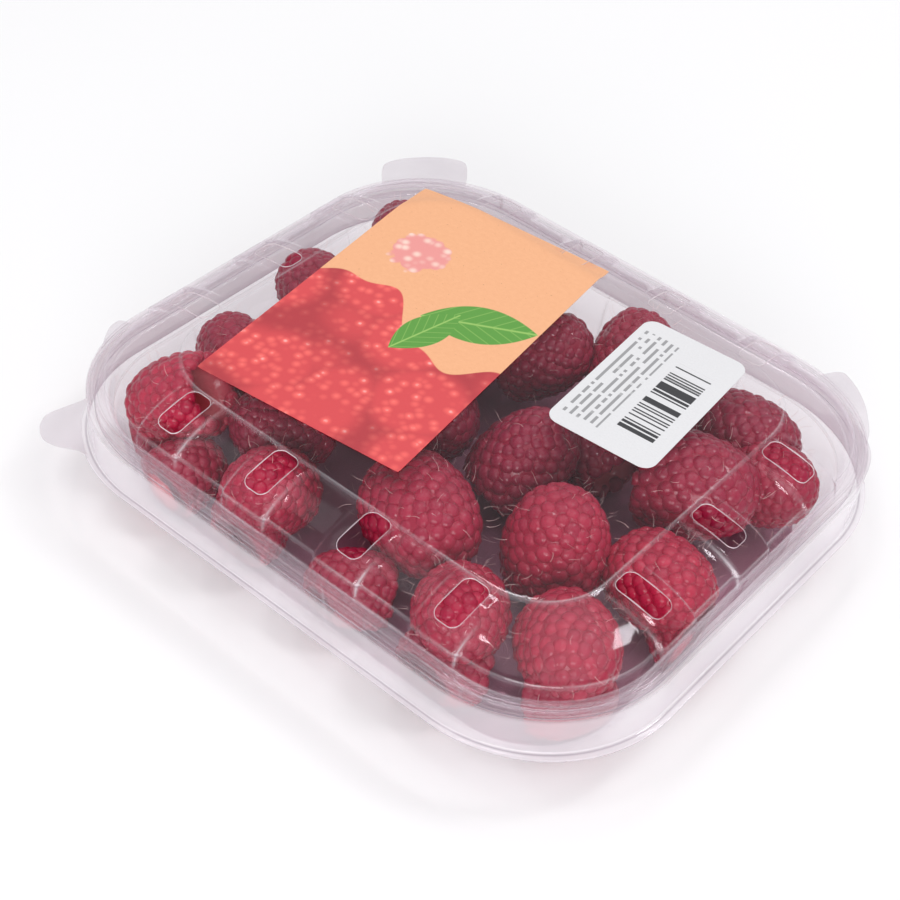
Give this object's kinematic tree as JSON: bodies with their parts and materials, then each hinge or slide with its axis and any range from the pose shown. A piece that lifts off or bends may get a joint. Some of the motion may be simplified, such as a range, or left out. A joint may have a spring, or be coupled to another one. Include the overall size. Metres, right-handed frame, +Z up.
{
  "type": "punnet of raspberries",
  "caption": "Shallow clear plastic punnet with a press-on vented lid, full of raspberries, with a printed picture label and a small white price label on the lid.",
  "frame": {"origin": "centre of the whole outline, on the table under the tray", "axes": "+X along the long side, +Y along the short side towards the back, +Z up; the opening tongue is at the -X -Y corner"},
  "size_m": [0.1474, 0.1314, 0.0322],
  "materials": {
    "clear_tray": "clear thin thermoformed plastic, glossy",
    "clear_lid": "clear thin thermoformed plastic, glossy",
    "raspberry": "soft fruit skin with a light bloom",
    "picture_paper": "printed label, satin",
    "white_paper": "white label paper, satin"
  },
  "bodies": {
    "root": {"tray": "clear_tray", "lid": "clear_lid", "raspberries": "raspberry", "picture_label": "picture_paper", "price_label": "white_paper"}
  },
  "joints": []
}
